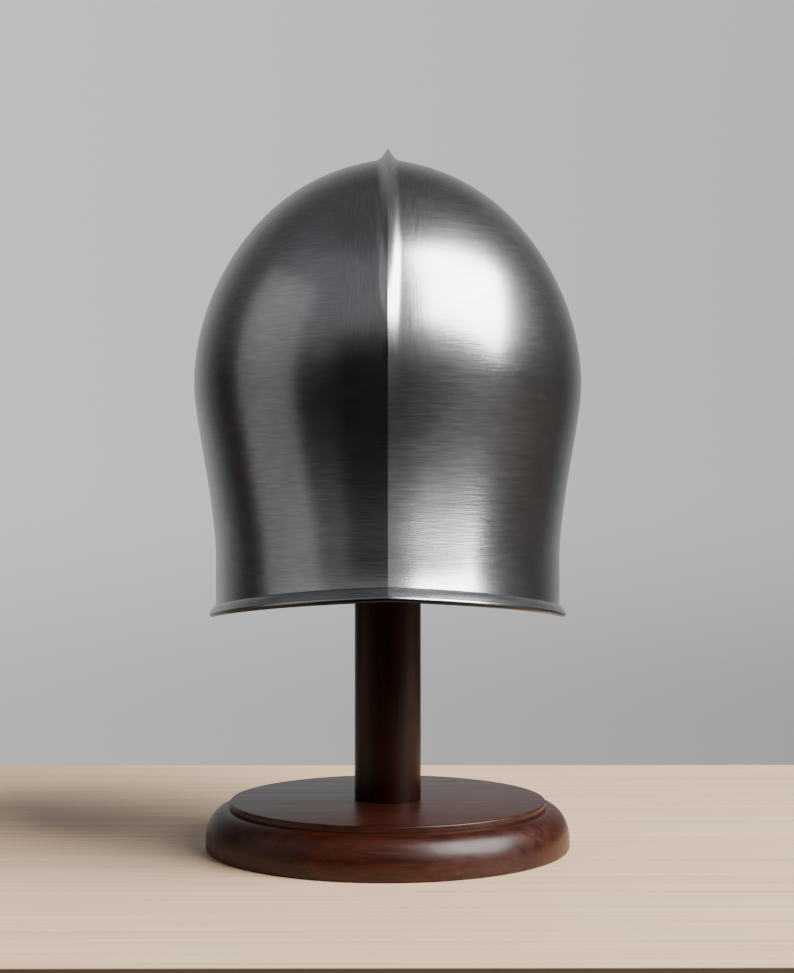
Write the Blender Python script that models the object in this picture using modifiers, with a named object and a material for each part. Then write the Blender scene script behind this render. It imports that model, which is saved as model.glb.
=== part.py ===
"""A barbuta helmet on a turned wooden stand, in metres, +Z up.

The origin is the middle of the stand's underside, on the post's axis. The face opening looks
along -Y and the back of the neck along +Y. The steel plate is one raised sheet whose outer face
follows a few level sections, with a dome, a comb and a keel worked out from the named sizes.
Its edge is rolled over a wire. The wood is turned from short profiles.
"""

from collections import namedtuple
from math import acos, asin, atan2, ceil, cos, exp, hypot, pi, radians, sin, sqrt, tan

import bmesh
import bpy
import numpy as np
from mathutils import Vector

FIT_GAP = 0.0003

# The plate. Each row is a level section, an oval with its own depth behind and before the axis.
PLATE_THICKNESS = 0.0018
Section = namedtuple("Section", "height half_width back front")
SECTIONS = (
    Section(0.1214, 0.0942, 0.1440, 0.1170),
    Section(0.1487, 0.0946, 0.1358, 0.1168),
    Section(0.1641, 0.0947, 0.1318, 0.1170),
    Section(0.1794, 0.0961, 0.1285, 0.1182),
    Section(0.1968, 0.0985, 0.1257, 0.1200),
    Section(0.2161, 0.1018, 0.1242, 0.1222),
    Section(0.2355, 0.1051, 0.1242, 0.1240),
    Section(0.2548, 0.1070, 0.1248, 0.1248),
)
HALF_WIDTH, BACK, FRONT = range(1, len(Section._fields))
WIDEST = SECTIONS[-1]
CROWN_HEIGHT = 0.3759
SHOULDER_EASE = 0.018

# The comb over the crown, its low tail down the nape, and the softer keel that it fades into.
COMB_RISE = 0.0057
COMB_SPREAD = 0.0036
COMB_FLANK_POWER = 2.0
COMB_FOOT_HEIGHT = 0.258
COMB_FULL_HEIGHT = 0.370
COMB_TAIL_RISE = 0.0004
COMB_TAIL_FOOT = 0.205
KEEL_RISE = 0.0034
KEEL_SPREAD = 0.0260

# The rolled edge, turned inward so that its outer side is level with the plate: the height of its
# middle round the helmet, the flange turned out above it, and how far above the roll's middle the
# plate's slanting lower end stops.
ROLL_RADIUS = 0.0017
SIDE_EDGE_HEIGHT = 0.1284
BACK_EDGE_RISE = 0.0141
FRONT_EDGE_RISE = 0.0030
EDGE_RISE_POWER = 1.5
FLANGE_HEIGHT = 0.0050
FLANGE_FLARE = 0.0037
FLANGE_POWER = 0.60
FLANGE_FRONT_START = 0.034
FLANGE_FRONT_FULL = 0.060
PLATE_END_RISE = 0.0028
ROLL_STEP = 0.0120
ROLL_SIDES = 8

# The face opening: the corners of one half of its edge, from the nasal's tip down to the cheek's foot.
Corner = namedtuple("Corner", "x z radius")
CHEEK_FOOT_X = 0.0215
FACE_CORNERS = (
    Corner(0.0000, 0.2170, 0.0000),
    Corner(0.0070, 0.2175, 0.0055),
    Corner(0.0110, 0.2585, 0.0075),
    Corner(0.0420, 0.2680, 0.0280),
    Corner(0.0715, 0.2455, 0.0060),
    Corner(0.0450, 0.2300, 0.0350),
    Corner(0.0170, 0.2235, 0.0100),
    Corner(CHEEK_FOOT_X, 0.1313, 0.0110),
    Corner(0.0600, 0.1310, 0.0000),
)
CORNER_STEP = radians(28)
FACE_CUT_BOTTOM = 0.110
FACE_CUT_DEPTH = 0.100

# The stand: a moulded base with a raised table, a plain post and a domed rest for the crown.
BASE_RADIUS = 0.1004
BASE_HEIGHT = 0.0258
BASE_FOOT_EDGE = 0.0010
TABLE_RADIUS = 0.0873
TABLE_EDGE = 0.0008
LEDGE_HEIGHT = 0.0222
LEDGE_WIDTH = 0.0013
OVOLO_FOOT_HEIGHT = 0.0050
OVOLO_STEPS = 6
POST_RADIUS = 0.0184
REST_TOP = 0.3761
REST_CURVE_RADIUS = 0.060
REST_RADIUS = 0.046
REST_THICKNESS = 0.034
REST_EDGE = 0.004
REST_STEPS = 6
BASE_SIDES = 48
POST_SIDES = 32

# The plate's grid: cells along each edge of the cube that it is blown up from.
PLATE_CELLS = 20
COMB_CROWDING = 1.5
FLANGE_ROWS = 2
PLACE_ROUNDS = 6

SHARP_ANGLE = radians(35)
WELD_DISTANCE = 0.000001
TURN_WELD_DISTANCE = 0.00005


def smooth_slopes(column):
    """Slope of one column of the section table at each row, for the smoothest curve through them."""
    count = len(SECTIONS)
    matrix = np.eye(count)
    right = np.zeros(count)
    for i in range(1, count - 1):
        below = SECTIONS[i].height - SECTIONS[i - 1].height
        above = SECTIONS[i + 1].height - SECTIONS[i].height
        matrix[i, i - 1 : i + 2] = above, 2 * (below + above), below
        fall = (SECTIONS[i][column] - SECTIONS[i - 1][column]) / below
        rise = (SECTIONS[i + 1][column] - SECTIONS[i][column]) / above
        right[i] = 3 * (above * fall + below * rise)
    return np.linalg.solve(matrix, right).tolist()


SLOPES = [smooth_slopes(column) for column in range(len(Section._fields))]


def skirt_size(height, column):
    """One size of the level section at a height under the widest one, and how fast it changes."""
    row = max(i for i in range(len(SECTIONS) - 1) if SECTIONS[i].height <= height or i == 0)
    low, high = SECTIONS[row], SECTIONS[row + 1]
    span = high.height - low.height
    t = (height - low.height) / span
    slope_low, slope_high = SLOPES[column][row] * span, SLOPES[column][row + 1] * span
    change = high[column] - low[column]
    bend_low = slope_low - change
    bend_high = change - slope_high
    size = low[column] + t * change + t * (1 - t) * (bend_low * (1 - t) + bend_high * t)
    slope = change + (1 - 2 * t) * (bend_low * (1 - t) + bend_high * t)
    slope += t * (1 - t) * (bend_high - bend_low)
    return size, slope / span


def blend(start, end, value):
    """0 up to start, 1 from end on, and a smooth step between them."""
    share = min(1.0, max(0.0, (value - start) / (end - start)))
    return share * share * (3 - 2 * share)


def ridge_rise(x, height):
    """How far the comb and the keel stand out of the plain oval form."""
    share = (height - COMB_FOOT_HEIGHT) / (COMB_FULL_HEIGHT - COMB_FOOT_HEIGHT)
    comb = (COMB_RISE - COMB_TAIL_RISE) * sin(pi / 2 * min(1.0, max(0.0, share)))
    comb += COMB_TAIL_RISE * blend(COMB_TAIL_FOOT, COMB_FOOT_HEIGHT, height)
    keel = KEEL_RISE * exp(-abs(x) / KEEL_SPREAD)
    return comb * exp(-((abs(x) / COMB_SPREAD) ** COMB_FLANK_POWER)) + keel


def edge_height(around):
    """Height of the rolled edge's middle; around is 0 at the back and 180 degrees at the front."""
    rise = BACK_EDGE_RISE if cos(around) > 0 else FRONT_EDGE_RISE
    return SIDE_EDGE_HEIGHT + rise * abs(cos(around)) ** EDGE_RISE_POWER


def flange_flare(x, around, height):
    """How far the flange above the rolled edge stands out of the skirt."""
    share = max(0.0, 1 - (height - edge_height(around)) / FLANGE_HEIGHT)
    fade = 1.0 if cos(around) > 0 else blend(FLANGE_FRONT_START, FLANGE_FRONT_FULL, abs(x))
    return FLANGE_FLARE * fade * share**FLANGE_POWER


def plate_point(height, around, depth_in=0.0):
    """A point of the plate's outer face, or of a layer at some depth inside it."""
    column = BACK if cos(around) > 0 else FRONT
    if height > WIDEST.height:
        dome_height = CROWN_HEIGHT - WIDEST.height
        level = min(1.0, (height - WIDEST.height) / dome_height)
        shrink = sqrt(1 - level * level)
        x = WIDEST.half_width * shrink * (1 - SHOULDER_EASE * (2 * level * shrink) ** 2) * sin(around)
        y = WIDEST[column] * shrink * cos(around)
        out = Vector((x / WIDEST.half_width**2, y / WIDEST[column] ** 2, level / dome_height))
    else:
        half_width, width_slope = skirt_size(height, HALF_WIDTH)
        depth, depth_slope = skirt_size(height, column)
        x = half_width * sin(around)
        y = depth * cos(around)
        lean = x * x * width_slope / half_width**3 + y * y * depth_slope / depth**3
        out = Vector((x / half_width**2, y / depth**2, -lean))
    level_out = Vector((out.x, out.y, 0))
    if level_out.length > 0:
        level_out.normalize()
    rise = ridge_rise(x, height) - depth_in
    return Vector((x, y, height)) + rise * out.normalized() + flange_flare(x, around, height) * level_out


def face_place(x, z):
    """The height and the angle round the helmet of a place on its front, seen from straight ahead."""
    guess_x, guess_z = x, z
    for _ in range(PLACE_ROUNDS):
        dome = sqrt(max(0.0, 1 - ((guess_z - WIDEST.height) / (CROWN_HEIGHT - WIDEST.height)) ** 2))
        if guess_z > WIDEST.height:
            half_width = WIDEST.half_width * dome
        else:
            half_width = skirt_size(guess_z, HALF_WIDTH)[0]
        around = pi - asin(guess_x / half_width)
        point = plate_point(guess_z, around)
        place = guess_z, around
        guess_x += x - point.x
        guess_z += z - point.z
    return place


def face_outline():
    """The middle of one half of the face opening's rolled edge, as rounded corners seen from ahead."""
    points = [(FACE_CORNERS[0].x, FACE_CORNERS[0].z)]
    for before, corner, after in zip(FACE_CORNERS, FACE_CORNERS[1:], FACE_CORNERS[2:]):
        apex = Vector((corner.x, corner.z))
        arrive = (Vector((before.x, before.z)) - apex).normalized()
        leave = (Vector((after.x, after.z)) - apex).normalized()
        half_angle = acos(max(-1.0, min(1.0, arrive.dot(leave)))) / 2
        middle = apex + (arrive + leave).normalized() * (corner.radius / sin(half_angle))
        start = apex + arrive * (corner.radius / tan(half_angle)) - middle
        turn = pi - 2 * half_angle
        steps = max(1, ceil(turn / CORNER_STEP))
        side = 1 if start.x * (leave.y - arrive.y) - start.y * (leave.x - arrive.x) > 0 else -1
        for i in range(steps + 1):
            angle = side * turn * i / steps
            swung_x = start.x * cos(angle) - start.y * sin(angle)
            swung_z = start.x * sin(angle) + start.y * cos(angle)
            points.append((middle.x + swung_x, middle.y + swung_z))
    return spread_out(points)


def spread_out(points):
    """The same outline with its long straight stretches divided, so that they can follow the plate."""
    spread = [points[0]]
    for (x0, z0), (x1, z1) in zip(points, points[1:]):
        length = hypot(x1 - x0, z1 - z0)
        if length < FIT_GAP:
            continue
        steps = max(1, round(length / ROLL_STEP))
        spread += [(x0 + (x1 - x0) * i / steps, z0 + (z1 - z0) * i / steps) for i in range(1, steps + 1)]
    return spread


def lower_edge(start_x):
    """Angles round the helmet, from a place at the front to the middle of the back."""
    half_width = skirt_size(SIDE_EDGE_HEIGHT, HALF_WIDTH)[0]
    first = pi - asin((start_x + ROLL_STEP) / half_width)
    steps = round(first * WIDEST.half_width / ROLL_STEP)
    return [first * (1 - i / steps) for i in range(steps + 1)]


def roll_path():
    """The middle of the rolled edge, all round: the face opening, then the lower edge."""
    outline = face_outline()
    half_face = [plate_point(*face_place(x, z), ROLL_RADIUS) for x, z in outline]
    half_edge = [plate_point(edge_height(a), a, ROLL_RADIUS) for a in lower_edge(outline[-1][0])]
    half = half_face + half_edge
    mirrored = [Vector((-p.x, p.y, p.z)) for p in reversed(half[1:-1])]
    return half + mirrored


def face_cut_outline():
    """The edge that the plate is cut to round the face, clear of the rolled edge by the fit gap."""
    outline = face_outline()
    centres = [plate_point(*face_place(x, z), ROLL_RADIUS) for x, z in outline]
    reach = ROLL_RADIUS + FIT_GAP
    edge = []
    for i, centre in enumerate(centres):
        ahead = centres[min(i + 1, len(centres) - 1)] - centres[max(i - 1, 0)]
        outward = Vector((-ahead.z, 0, ahead.x)).normalized()
        point = centre + reach * outward
        edge.append((0.0 if i == 0 else point.x, point.z))
    edge.append((edge[-1][0], FACE_CUT_BOTTOM))
    return edge + [(-x, z) for x, z in reversed(edge[1:])]


def material(name, rgb, roughness, metallic):
    made = bpy.data.materials.new(name)
    made.diffuse_color = (*rgb, 1)
    made.use_nodes = True
    shader = made.node_tree.nodes["Principled BSDF"]
    shader.inputs["Base Color"].default_value = (*rgb, 1)
    shader.inputs["Roughness"].default_value = roughness
    shader.inputs["Metallic"].default_value = metallic
    return made


def add_object(name, data, surface, collection):
    made = bpy.data.objects.new(name, data)
    collection.objects.link(made)
    if surface:
        data.materials.append(surface)
    return made


def shade(mesh):
    mesh.shade_smooth()
    mesh.set_sharp_from_angle(angle=SHARP_ANGLE)


def crowd(value):
    """Draws the grid's lines together near the middle, where the comb stands."""
    return (abs(value) ** COMB_CROWDING) * (1 if value >= 0 else -1)


def grid_point(place):
    """Where a point of the cube's grid lies on the plate's outer face."""
    sideways = tan(crowd(place.x) * pi / 4)
    along = tan(place.y * pi / 4)
    around = atan2(sideways, along)
    if place.z >= 0:
        upward = Vector((sideways, along, tan(place.z * pi / 4))).normalized().z
        return plate_point(WIDEST.height + (CROWN_HEIGHT - WIDEST.height) * upward, around)
    bottom = edge_height(around) + PLATE_END_RISE
    crease = edge_height(around) + FLANGE_HEIGHT
    row = -place.z * PLATE_CELLS / 2
    skirt_rows = PLATE_CELLS / 2 - FLANGE_ROWS
    if row <= skirt_rows:
        return plate_point(WIDEST.height + (crease - WIDEST.height) * row / skirt_rows, around)
    return plate_point(crease + (bottom - crease) * (row - skirt_rows) / FLANGE_ROWS, around)


def add_face_cutter(collection):
    """A block of the face opening's outline that passes through the plate's front."""
    curve = bpy.data.curves.new("face_cutter", "CURVE")
    curve.dimensions = "2D"
    curve.fill_mode = "BOTH"
    curve.extrude = FACE_CUT_DEPTH / 2
    outline = face_cut_outline()
    spline = curve.splines.new("POLY")
    spline.points.add(len(outline) - 1)
    for point, (x, z) in zip(spline.points, outline):
        point.co = (x, z, 0, 1)
    spline.use_cyclic_u = True
    drawn = add_object("face_outline", curve, None, collection)
    mesh = bpy.data.meshes.new_from_object(drawn.evaluated_get(bpy.context.evaluated_depsgraph_get()))
    bpy.data.objects.remove(drawn)
    welded = bmesh.new()
    welded.from_mesh(mesh)
    bmesh.ops.remove_doubles(welded, verts=welded.verts, dist=WELD_DISTANCE)
    bmesh.ops.recalc_face_normals(welded, faces=welded.faces)
    welded.to_mesh(mesh)
    welded.free()
    cutter = add_object("face_cutter", mesh, None, collection)
    cutter.rotation_euler.x = radians(90)
    cutter.location.y = -WIDEST.front
    cutter.hide_render = True
    cutter.display_type = "WIRE"
    return cutter


def add_plate(collection, cutters, steel):
    """The helmet's one raised sheet: a cube's grid blown up, thickened inward and cut for the face."""
    grid = bmesh.new()
    bmesh.ops.create_cube(grid, size=2)
    floor = [face for face in grid.faces if face.normal.z < -0.5]
    bmesh.ops.delete(grid, geom=floor, context="FACES_ONLY")
    bmesh.ops.subdivide_edges(grid, edges=grid.edges, cuts=PLATE_CELLS - 1, use_grid_fill=True)
    for vert in grid.verts:
        vert.co = grid_point(vert.co)
    mesh = bpy.data.meshes.new("helmet_plate")
    grid.to_mesh(mesh)
    grid.free()
    shade(mesh)
    plate = add_object("helmet_plate", mesh, steel, collection)
    thickness = plate.modifiers.new("thickness", "SOLIDIFY")
    thickness.thickness = PLATE_THICKNESS
    thickness.offset = -1
    thickness.use_even_offset = True
    cut = plate.modifiers.new("face_opening", "BOOLEAN")
    cut.operation = "DIFFERENCE"
    cut.object = add_face_cutter(cutters)


def add_rolled_edge(collection, steel):
    """The plate's border, rolled over a wire, as one closed ring."""
    curve = bpy.data.curves.new("rolled_edge", "CURVE")
    curve.dimensions = "3D"
    curve.bevel_depth = ROLL_RADIUS
    curve.bevel_resolution = (ROLL_SIDES - 4) // 2
    path = roll_path()
    spline = curve.splines.new("POLY")
    spline.points.add(len(path) - 1)
    for point, place in zip(spline.points, path):
        point.co = (*place, 1)
    spline.use_cyclic_u = True
    add_object("rolled_edge", curve, steel, collection)


def add_turned(name, profile, sides, collection, wood):
    """A turned piece, from its profile from the top of the axis down to the bottom of the axis."""
    outline = bmesh.new()
    verts = [outline.verts.new((radius, 0, height)) for radius, height in profile]
    for start, end in zip(verts, verts[1:]):
        outline.edges.new((start, end))
    mesh = bpy.data.meshes.new(name)
    outline.to_mesh(mesh)
    outline.free()
    turned = add_object(name, mesh, wood, collection)
    turn = turned.modifiers.new("turn", "SCREW")
    turn.axis = "Z"
    turn.steps = sides
    turn.render_steps = sides
    turn.use_merge_vertices = True
    turn.merge_threshold = TURN_WELD_DISTANCE
    turn.use_smooth_shade = True


def base_profile():
    """The base: a raised table, a ledge and a quarter-round moulding down to a flat foot."""
    ovolo_width = BASE_RADIUS - TABLE_RADIUS - LEDGE_WIDTH
    ovolo_height = LEDGE_HEIGHT - OVOLO_FOOT_HEIGHT
    profile = [
        (0, BASE_HEIGHT),
        (TABLE_RADIUS - TABLE_EDGE, BASE_HEIGHT),
        (TABLE_RADIUS, BASE_HEIGHT - TABLE_EDGE),
        (TABLE_RADIUS, LEDGE_HEIGHT),
    ]
    for i in range(OVOLO_STEPS + 1):
        angle = pi / 2 * (1 - i / OVOLO_STEPS)
        radius = BASE_RADIUS - ovolo_width * (1 - cos(angle))
        profile.append((radius, OVOLO_FOOT_HEIGHT + ovolo_height * sin(angle)))
    profile += [(BASE_RADIUS, BASE_FOOT_EDGE), (BASE_RADIUS - BASE_FOOT_EDGE, 0), (0, 0)]
    return profile


def rest_profile():
    """The rest under the crown: a domed top, an eased rim and a flat underside."""
    edge_angle = asin(REST_RADIUS / REST_CURVE_RADIUS)
    profile = []
    for i in range(REST_STEPS + 1):
        angle = edge_angle * i / REST_STEPS
        drop = REST_CURVE_RADIUS * (1 - cos(angle))
        profile.append((REST_CURVE_RADIUS * sin(angle), REST_TOP - drop))
    rim = profile[-1][1]
    bottom = REST_TOP - REST_THICKNESS
    profile += [(REST_RADIUS, rim - REST_EDGE), (REST_RADIUS - REST_EDGE, bottom), (0, bottom)]
    return profile


def post_profile():
    """The plain post, from under the rest down to the base's table."""
    top = REST_TOP - REST_THICKNESS - FIT_GAP
    bottom = BASE_HEIGHT + FIT_GAP
    return [(0, top), (POST_RADIUS, top), (POST_RADIUS, bottom), (0, bottom)]


def main():
    for old in list(bpy.data.objects):
        bpy.data.objects.remove(old)
    parts = bpy.data.collections.new("barbuta_on_stand")
    cutters = bpy.data.collections.new("cutters")
    bpy.context.scene.collection.children.link(parts)
    bpy.context.scene.collection.children.link(cutters)
    steel = material("polished_steel", (0.52, 0.52, 0.53), 0.28, 1.0)
    wood = material("dark_stained_wood", (0.075, 0.022, 0.012), 0.35, 0.0)
    add_plate(parts, cutters, steel)
    add_rolled_edge(parts, steel)
    add_turned("stand_base", base_profile(), BASE_SIDES, parts, wood)
    add_turned("stand_post", post_profile(), POST_SIDES, parts, wood)
    add_turned("stand_rest", rest_profile(), POST_SIDES, parts, wood)


main()
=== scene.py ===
"""The looks of a barbuta helmet on its turned wooden stand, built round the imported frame.

Metres, +Z up. The origin is the middle of the stand's underside. The face opening looks along -Y
and the back of the neck along +Y.
"""

from collections import namedtuple
from math import acos, asin, atan2, ceil, cos, exp, hypot, pi, radians, sin, sqrt, tan

import bmesh
import bpy
import numpy as np
from mathutils import Matrix, Vector


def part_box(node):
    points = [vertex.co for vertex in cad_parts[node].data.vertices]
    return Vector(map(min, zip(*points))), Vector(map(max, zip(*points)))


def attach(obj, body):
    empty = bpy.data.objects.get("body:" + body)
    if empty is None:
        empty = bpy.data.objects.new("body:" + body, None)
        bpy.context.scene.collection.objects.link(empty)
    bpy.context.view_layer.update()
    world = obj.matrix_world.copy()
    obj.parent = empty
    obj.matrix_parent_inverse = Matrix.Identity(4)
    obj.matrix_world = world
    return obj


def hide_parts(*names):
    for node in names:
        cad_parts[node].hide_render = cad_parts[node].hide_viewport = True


bl_info = {
    "name": "Barbuta on a stand",
    "version": (1, 0, 0),
    "blender": (4, 5, 0),
    "location": "3D View > Sidebar > Barbuta",
    "description": "Makes a raised steel barbuta, its wooden stand and a plain studio",
    "category": "Object",
}

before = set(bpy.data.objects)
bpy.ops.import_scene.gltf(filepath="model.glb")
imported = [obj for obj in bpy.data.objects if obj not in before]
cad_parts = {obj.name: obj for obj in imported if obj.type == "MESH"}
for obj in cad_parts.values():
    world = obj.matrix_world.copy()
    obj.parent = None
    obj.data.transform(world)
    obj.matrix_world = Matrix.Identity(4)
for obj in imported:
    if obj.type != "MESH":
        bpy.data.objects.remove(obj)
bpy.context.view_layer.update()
BASE_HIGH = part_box("stand_base")[1]
POST_LOW, POST_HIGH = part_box("stand_post")
REST_LOW, REST_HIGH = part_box("stand_rest")

MM = 0.001

# The plate's level sections: ovals with their own depth behind and before the axis. Above the
# widest one is a dome up to CROWN_HEIGHT, whose flanks SHOULDER_EASE draws in a little.
Section = namedtuple("Section", "height half_width back front")
SECTIONS = (
    Section(0.1214, 0.0942, 0.1440, 0.1170),
    Section(0.1487, 0.0946, 0.1358, 0.1168),
    Section(0.1641, 0.0947, 0.1318, 0.1170),
    Section(0.1794, 0.0961, 0.1285, 0.1182),
    Section(0.1968, 0.0985, 0.1257, 0.1200),
    Section(0.2161, 0.1018, 0.1242, 0.1222),
    Section(0.2355, 0.1051, 0.1242, 0.1240),
    Section(0.2548, 0.1070, 0.1248, 0.1248),
)
HALF_WIDTH, BACK, FRONT = range(1, len(Section._fields))
WIDEST = SECTIONS[-1]
CROWN_HEIGHT = 0.3759
SHOULDER_EASE = 0.018

# The comb over the crown, its low tail down the nape and the keel that it fades into.
COMB_RISE = 0.0057
COMB_HALF_WIDTH = 0.0058
COMB_FLANK_POWER = 1.7
COMB_FOOT_HEIGHT = 0.258
COMB_FULL_HEIGHT = 0.370
COMB_TAIL_RISE = 0.0004
COMB_TAIL_FOOT = 0.205
KEEL_RISE = 0.0034
KEEL_SPREAD = 0.0260

# The lower edge and the flange turned out above its roll.
SIDE_EDGE_HEIGHT = 0.1284
BACK_EDGE_RISE = 0.0141
FRONT_EDGE_RISE = 0.0030
EDGE_RISE_POWER = 1.5
FLANGE_HEIGHT = 0.0050
FLANGE_FLARE = 0.0037
FLANGE_POWER = 0.60
FLANGE_FRONT_START = 0.034
FLANGE_FRONT_FULL = 0.060

# The face opening: the corners of one half of its edge, from the nasal's tip to the cheek's foot.
Corner = namedtuple("Corner", "x z radius")
FACE_CORNERS = (
    Corner(0.0000, 0.2170, 0.0000),
    Corner(0.0070, 0.2175, 0.0055),
    Corner(0.0110, 0.2585, 0.0075),
    Corner(0.0420, 0.2680, 0.0280),
    Corner(0.0715, 0.2455, 0.0060),
    Corner(0.0450, 0.2300, 0.0350),
    Corner(0.0170, 0.2235, 0.0100),
    Corner(0.0215, 0.1313, 0.0110),
    Corner(0.0600, 0.1310, 0.0000),
)
FACE_CUT_BOTTOM = 0.110
FACE_CUT_DEPTH = 0.100
PLACE_ROUNDS = 6
SMALL_STEP = 0.0003
WELD_DISTANCE = 0.000001
TURNED_WELD_DISTANCE = 0.00001

# The stand's turned profiles, where the frame's boxes don't give a size.
TABLE_RADIUS = 0.0873
TABLE_ROUNDING = 0.0010
LEDGE_DROP = 0.0036
LEDGE_WIDTH = 0.0013
OVOLO_FOOT_HEIGHT = 0.0050
FOOT_ROUNDING = 0.0014
REST_CURVE_RADIUS = 0.060
REST_EDGE = 0.004

# A change from one value to another: where it starts and ends, and the value at either end. It is
# even, or eased at both ends with SMOOTH.
Fade = namedtuple("Fade", "start end first last")
SMOOTH = {"interpolation_type": "SMOOTHSTEP"}

# How strong the finest marks of any pattern are, against its coarse ones.
MARK_ROUGHNESS = 0.6

# The marks on the steel: their size along X, Y and Z, how clean they leave it, from dulled at 0 to
# bright at 1, and how they roughen and dent it.
PLATE_STEEL = "brushed_steel"
BORDER_STEEL = "brushed_steel_border"
LEVEL_BRUSH_SIZE = (12 * MM, 12 * MM, 0.9 * MM)
COMB_BRUSH_SIZE = (0.9 * MM, 12 * MM, 12 * MM)
COMB_BRUSH_ASIDE = Fade(16 * MM, 34 * MM, 1, 0)
COMB_BRUSH_UP = Fade(240 * MM, 275 * MM, 0, 1)
BROAD_BRUSH_SIZE = (60 * MM, 60 * MM, 2 * MM)
CLOUD_SIZE = (45 * MM, 45 * MM, 60 * MM)
CLOUD_CLEANNESS = Fade(0.35, 0.65, 0.1, 0.5)
LINE_CLEANNESS = Fade(0.36, 0.64, 0, 1)
LINE_SHARE = 0.4
LINE_ROUGHNESS = 0.05
BROAD_ROUGHNESS = 0.04
LINE_BUMP = 0.6
LINE_DEPTH = 0.05 * MM

# Painted shade on the border's underside, by how far its surface faces up: 1 is up and -1 is down.
SHADE_FACING_DOWN = Fade(-0.15, 0.10, 1, 0)
SHADE_STRAIGHT_DOWN = Fade(-0.98, -0.70, 0.85, 1)

# The stand's wood: its pores' size, how dark it is between them, and its sheen. On the base that is
# the stain alone; on the upright pieces it adds painted shade, for the helmet's shadow on the post.
# The figure is the broad light and dark of the grain.
Wood = namedtuple("Wood", "name pore_size stain_depth sheen")
BASE_WOOD = Wood("stained_wood_across", (30 * MM, 0.8 * MM, 0.8 * MM), 0.0, 0.29)
# The upright pieces' 0.8 is painted shade that darkens the post and the rest.
POST_WOOD = Wood("stained_wood_upright", (0.8 * MM, 0.8 * MM, 30 * MM), 0.8, 0.16)
FIGURE_COARSENESS = 6
FIGURE_SHARE = Fade(0.35, 0.65, 0, 1)
PORE_EDGES = (0.42, 0.60)
PORE_DEPTH = 0.5
PORE_BUMP = 0.08
PORE_BUMP_HEIGHT = 0.1 * MM
WOOD_ROUGHNESS = Fade(0.3, 0.7, 0.32, 0.42)

# The table's grain, and the painted shade on its edges below the top.
TABLE_GRAIN_SIZE = (400 * MM, 5 * MM, 5 * MM)
TABLE_GRAIN_SHARE = Fade(0.3, 0.7, 0, 1)
TABLE_EDGE_SHADE_SHARE = Fade(-0.5 * MM, -0.1 * MM, 1, 0)

# The dark card beside the camera: the X of its sides, the height of its top, its Y, and the heights
# between which the painted light on its felt grows stronger.
CARD_SIDES = (-0.03, 0.60)
CARD_TOP = 0.57
CARD_PLACE = 0.8
FELT_PAINTED_LIGHT = Fade(0.36, 0.54, 0, 1)

# The room and the backdrop, by the direction that is looked in, whose parts run from -1 to 1.
# Right, near and behind are as the camera sees them: it looks along -Y, so its right is -X.
ROOM_SLANT = -0.10
ROOM_BEHIND = Fade(-1.0, -0.55, 1, 0)
ROOM_BEHIND_POWER = 1.8
ROOM_RIGHT = Fade(-0.80, -0.30, 1, 0)
ROOM_RIGHT_NEAR = Fade(-0.30, 0.50, 0.6, 1)
ROOM_NEAR = Fade(-0.60, 0.40, 0, 1)
ROOM_HIGH = Fade(-0.05, 0.58, 0, 1)
ROOM_OVERHEAD = Fade(0.76, 0.96, 0, 1)
WALL_RIGHT = Fade(0.25, -0.30, 0, 0.5)
WALL_LOW = Fade(0.02, -0.12, 0, 0.45)

# The soft lights: degrees round from +Y towards -X and up, metres away and across, degrees rolled.
SoftLight = namedtuple("SoftLight", "azimuth elevation distance width height roll")
KEY_LIGHT = SoftLight(64, 38.3, 4.0, 3.2, 2.75, -27)
FILL_LIGHT = SoftLight(-83, 15, 4.0, 3.0, 3.9, 0)

# The camera's place, and the degrees that it looks up and turns aside from the stand's axis.
CAMERA_PLACE = (0, 0.9469, 0.1806)
CAMERA_RISE = 1.11
CAMERA_TURN = 0.31


# ---------------------------------------------------------------------------------- the form


def smooth_slopes(column):
    """Slope of one column of the section table at each row, for the smoothest curve through them."""
    count = len(SECTIONS)
    matrix = np.eye(count)
    right = np.zeros(count)
    for i in range(1, count - 1):
        below = SECTIONS[i].height - SECTIONS[i - 1].height
        above = SECTIONS[i + 1].height - SECTIONS[i].height
        matrix[i, i - 1 : i + 2] = above, 2 * (below + above), below
        fall = (SECTIONS[i][column] - SECTIONS[i - 1][column]) / below
        rise = (SECTIONS[i + 1][column] - SECTIONS[i][column]) / above
        right[i] = 3 * (above * fall + below * rise)
    return np.linalg.solve(matrix, right).tolist()


SLOPES = [smooth_slopes(column) for column in range(len(Section._fields))]


def skirt_size(height, column):
    """One size of the level section at a height under the widest one, and how fast it changes."""
    row = max(i for i in range(len(SECTIONS) - 1) if SECTIONS[i].height <= height or i == 0)
    low, high = SECTIONS[row], SECTIONS[row + 1]
    span = high.height - low.height
    t = (height - low.height) / span
    slope_low, slope_high = SLOPES[column][row] * span, SLOPES[column][row + 1] * span
    change = high[column] - low[column]
    bend_low = slope_low - change
    bend_high = change - slope_high
    size = low[column] + t * change + t * (1 - t) * (bend_low * (1 - t) + bend_high * t)
    slope = change + (1 - 2 * t) * (bend_low * (1 - t) + bend_high * t)
    slope += t * (1 - t) * (bend_high - bend_low)
    return size, slope / span


def blend(start, end, value):
    """0 up to start, 1 from end on, and a smooth step between them."""
    share = min(1.0, max(0.0, (value - start) / (end - start)))
    return share * share * (3 - 2 * share)


def ridge_rise(x, height):
    """How far the comb and the keel stand out of the plain oval form."""
    share = (height - COMB_FOOT_HEIGHT) / (COMB_FULL_HEIGHT - COMB_FOOT_HEIGHT)
    comb = (COMB_RISE - COMB_TAIL_RISE) * sin(pi / 2 * min(1.0, max(0.0, share)))
    comb += COMB_TAIL_RISE * blend(COMB_TAIL_FOOT, COMB_FOOT_HEIGHT, height)
    keel = KEEL_RISE * exp(-abs(x) / KEEL_SPREAD)
    return comb * (1 - min(1.0, abs(x) / COMB_HALF_WIDTH)) ** COMB_FLANK_POWER + keel


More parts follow.
